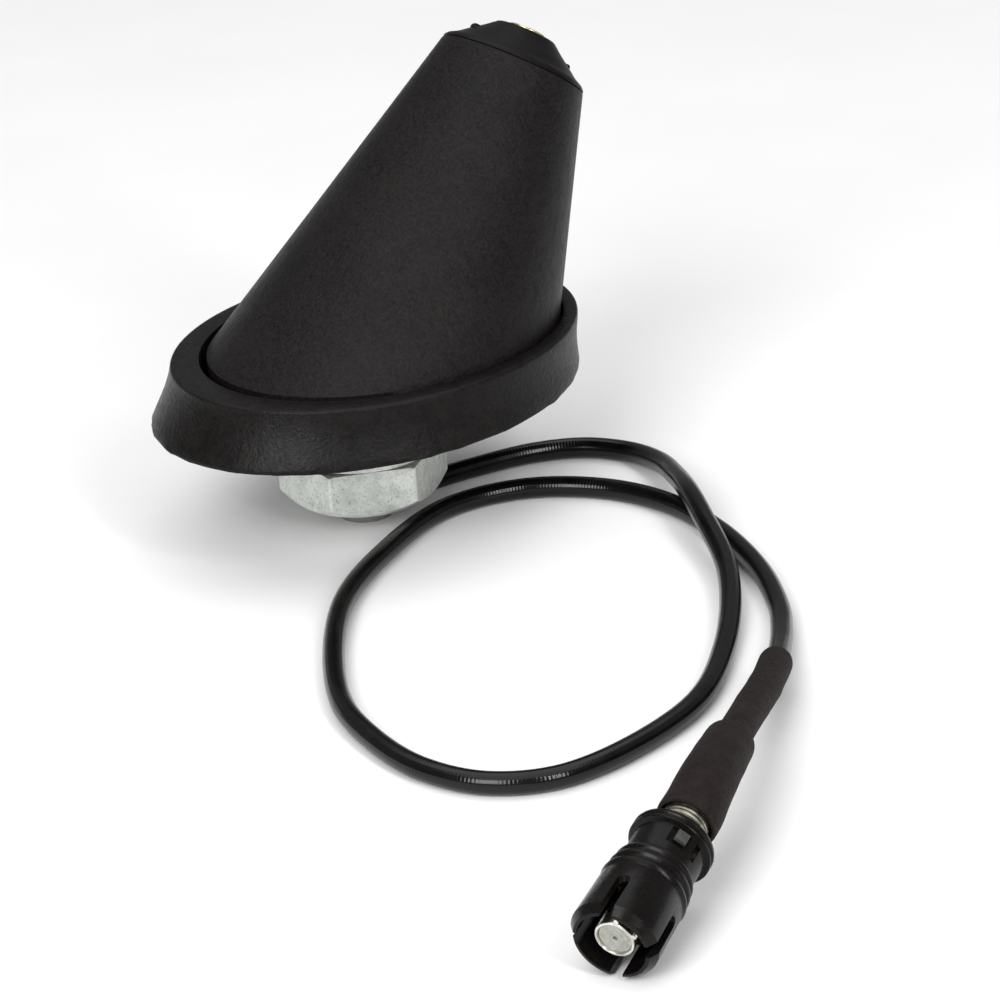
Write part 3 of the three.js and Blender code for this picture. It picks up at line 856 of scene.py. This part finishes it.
def nut():
    """Hexagon cut by a cone at both ends, with a grooved bore."""
    sides = 360
    chamfer_low = (11.15, 2.15)
    chamfer_high = (13.4, 0.4)

    def outline(z):
        low = chamfer_low[0] + (14 - chamfer_low[0]) * (z - NUT_Z) / chamfer_low[1]
        high = chamfer_high[0] + (14 - chamfer_high[0]) * (NUT_TOP_Z - z) / chamfer_high[1]
        limit = min(low, high, 13.72)
        ring = []
        for i in range(sides):
            t = 2 * pi * i / sides
            flat = (t % (pi / 3)) - pi / 6
            r = min(NUT_APOTHEM / cos(flat), limit)
            ring.append(Vector((r * cos(t), r * sin(t), z)))
        return ring

    def circle(r, z):
        return [Vector((r * cos(2 * pi * i / sides), r * sin(2 * pi * i / sides), z)) for i in range(sides)]

    rings = [circle(10.95, NUT_Z), outline(NUT_Z + 0.08)]
    rings += [outline(NUT_Z + chamfer_low[1] * i / 14) for i in range(1, 15)]
    rings += [outline(NUT_TOP_Z - chamfer_high[1] * (8 - i) / 8) for i in range(8)]
    rings += [outline(NUT_TOP_Z - 0.03), circle(11.8, NUT_TOP_Z), circle(8.9, NUT_TOP_Z)]
    rings += [circle(NUT_BORE_R + 0.1, NUT_TOP_Z - 0.7)]
    z = NUT_TOP_Z - 0.9
    while z > NUT_Z + 1.4:
        rings += [circle(NUT_BORE_R, z), circle(NUT_BORE_R + 0.6, z - THREAD_PITCH / 2)]
        z -= THREAD_PITCH
    rings += [circle(NUT_BORE_R, NUT_Z + 0.9), circle(8.9, NUT_Z)]
    place = Matrix.Translation((STUD_X, 0, 0)) @ Matrix.Rotation(NUT_TURN + pi / 6, 4, "Z")
    obj = mesh_object("hex_nut", loft(rings, loop=True), place)
    return settle(obj, "zinc_plate", "nut", "fixing_nut", sharp=24)


housing()
nose()
insert()
gasket()
nut()

# ---- CAD nodes that stay ----------------------------------------------------------------------------


def smoothing_nodes():
    """Geometry nodes that shade faces smooth and keep edges above 35 degrees sharp."""
    group = bpy.data.node_groups.new("smooth_by_angle", "GeometryNodeTree")
    group.interface.new_socket("Geometry", in_out="INPUT", socket_type="NodeSocketGeometry")
    group.interface.new_socket("Geometry", in_out="OUTPUT", socket_type="NodeSocketGeometry")
    start = group.nodes.new("NodeGroupInput")
    end = group.nodes.new("NodeGroupOutput")
    faces = group.nodes.new("GeometryNodeSetShadeSmooth")
    edges = group.nodes.new("GeometryNodeSetShadeSmooth")
    edges.domain = "EDGE"
    edges.inputs["Shade Smooth"].default_value = False
    angle = group.nodes.new("GeometryNodeInputMeshEdgeAngle")
    compare = group.nodes.new("FunctionNodeCompare")
    compare.operation = "GREATER_THAN"
    compare.inputs[1].default_value = radians(35)
    link = group.links.new
    link(start.outputs[0], faces.inputs["Geometry"])
    link(faces.outputs[0], edges.inputs["Geometry"])
    link(angle.outputs["Unsigned Angle"], compare.inputs[0])
    link(compare.outputs[0], edges.inputs["Selection"])
    link(edges.outputs[0], end.inputs[0])
    return group


KEPT_EDGES = {"grounding_washer": 0.08, "shield_can": 0.15, "filter_block": 0.12, "collar_lock_block": 0.12}
smooth = smoothing_nodes()
slots = {part["node"]: part["material_slot"] for part in frame["record"]["subparts"]}
for name, obj in nodes.items():
    if name in replaced:
        continue
    if not obj.material_slots:
        obj.data.materials.append(None)
    for material_slot in obj.material_slots:
        material_slot.material = MATERIALS[slots[name]]
    soften(obj, KEPT_EDGES.get(name, 0.06), 2, 40)
    obj.modifiers.new("smooth", "NODES").node_group = smooth

# ---- Floor and light --------------------------------------------------------------------------------

WORLD_STRENGTH = 0.24

def floor():
    half = 3.0
    mesh = bpy.data.meshes.new("floor")
    corners = [(-half, -half, 0), (half, -half, 0), (half, half, 0), (-half, half, 0)]
    mesh.from_pydata(corners, [], [(0, 1, 2, 3)])
    g = Graph("floor_paper")
    color = g.ramp(g.noise(40, 2), [(0.3, 0.88), (0.7, 0.9)])
    mesh.materials.append(g.finish(color, g.spread(g.noise(15, 2), 0.85, 0.95)))
    obj = bpy.data.objects.new("floor", mesh)
    bpy.context.scene.collection.objects.link(obj)


def softbox(name, place, size, power, aim=(0, -0.03, 0.03)):
    light = bpy.data.lights.new(name, "AREA")
    light.shape = "RECTANGLE"
    light.size, light.size_y = size
    light.energy = power
    obj = bpy.data.objects.new(name, light)
    obj.location = place
    obj.rotation_euler = (Vector(aim) - Vector(place)).to_track_quat("-Z", "Y").to_euler()
    bpy.context.scene.collection.objects.link(obj)


floor()
softbox("key", (-0.1, -0.9, 0.62), (0.12, 0.6), 4.5)
softbox("side", (-0.78, -0.36, 0.6), (0.5, 0.5), 7)
softbox("overhead", (0.05, 0.1, 1.2), (1.6, 1.6), 11)

world = bpy.data.worlds.new("studio")
world.use_nodes = True
world.node_tree.nodes["Background"].inputs["Color"].default_value = (1, 1, 1, 1)
world.node_tree.nodes["Background"].inputs["Strength"].default_value = WORLD_STRENGTH
bpy.context.scene.world = world
bpy.context.scene.view_settings.view_transform = "Standard"
